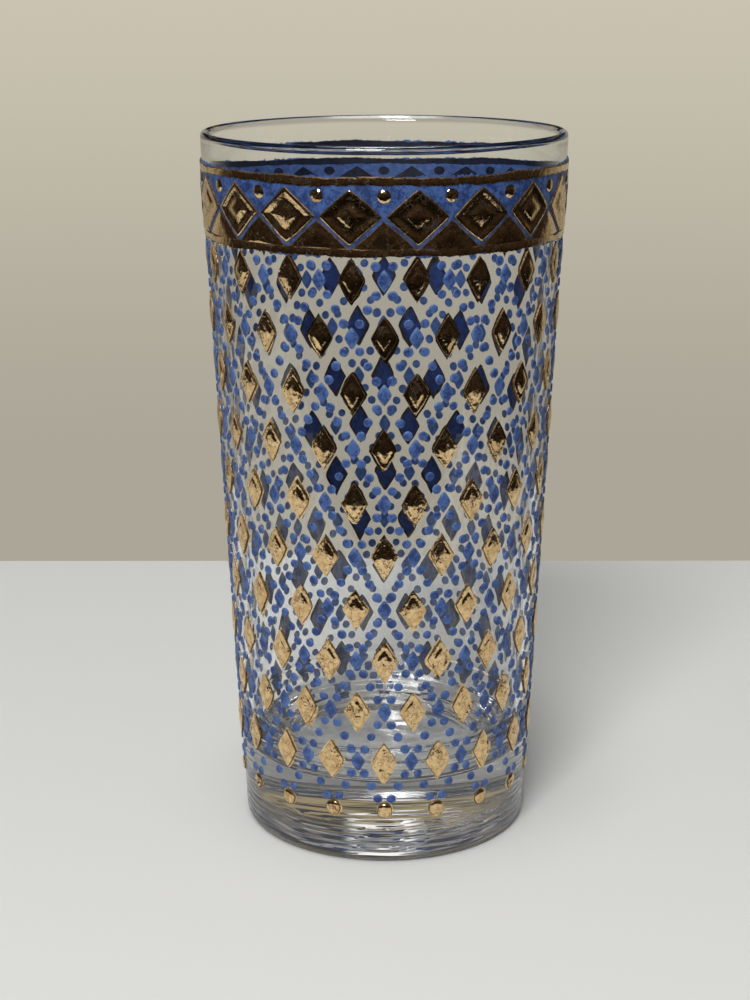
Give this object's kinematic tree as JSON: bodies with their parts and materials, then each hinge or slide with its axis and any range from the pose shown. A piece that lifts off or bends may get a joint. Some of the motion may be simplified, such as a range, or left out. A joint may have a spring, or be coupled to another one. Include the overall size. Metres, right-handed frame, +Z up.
{
  "type": "highball glass",
  "caption": "Tapered clear highball glass with a thick solid base, a rounded lip, a blue and gold band under the lip and raised gold studs in a dotted blue enamel trellis.",
  "frame": {"origin": "middle of the foot, on the plane that the glass stands on", "axes": "+Z up along the glass's axis, towards the lip; +X and +Y round it, with a band lozenge at +X"},
  "size_m": [0.0704, 0.0704, 0.139],
  "materials": {
    "clear_glass": "clear, fire-polished",
    "blue_enamel": "raised enamel, slightly grainy",
    "bright_gold": "fired bright gold, a little worn"
  },
  "bodies": {
    "root": {"tumbler": "clear_glass", "band_ground": "blue_enamel", "hem_pads": "blue_enamel", "stud_pads_row_01": "blue_enamel", "stud_pads_row_02": "blue_enamel", "stud_pads_row_03": "blue_enamel", "stud_pads_row_04": "blue_enamel", "stud_pads_row_05": "blue_enamel", "stud_pads_row_06": "blue_enamel", "stud_pads_row_07": "blue_enamel", "stud_pads_row_08": "blue_enamel", "stud_pads_row_09": "blue_enamel", "stud_pads_row_10": "blue_enamel", "trellis_tier_01": "blue_enamel", "trellis_tier_02": "blue_enamel", "trellis_tier_03": "blue_enamel", "trellis_tier_04": "blue_enamel", "trellis_tier_05": "blue_enamel", "trellis_tier_06": "blue_enamel", "trellis_tier_07": "blue_enamel", "trellis_tier_08": "blue_enamel", "trellis_tier_09": "blue_enamel", "trellis_tier_10": "blue_enamel", "trellis_tier_11": "blue_enamel", "band_beads": "bright_gold", "band_lower_line": "bright_gold", "band_lozenges": "bright_gold", "band_peaks": "bright_gold", "band_upper_line": "bright_gold", "hem_gold": "bright_gold", "stud_gold_row_01": "bright_gold", "stud_gold_row_02": "bright_gold", "stud_gold_row_03": "bright_gold", "stud_gold_row_04": "bright_gold", "stud_gold_row_05": "bright_gold", "stud_gold_row_06": "bright_gold", "stud_gold_row_07": "bright_gold", "stud_gold_row_08": "bright_gold", "stud_gold_row_09": "bright_gold", "stud_gold_row_10": "bright_gold"}
  },
  "joints": []
}
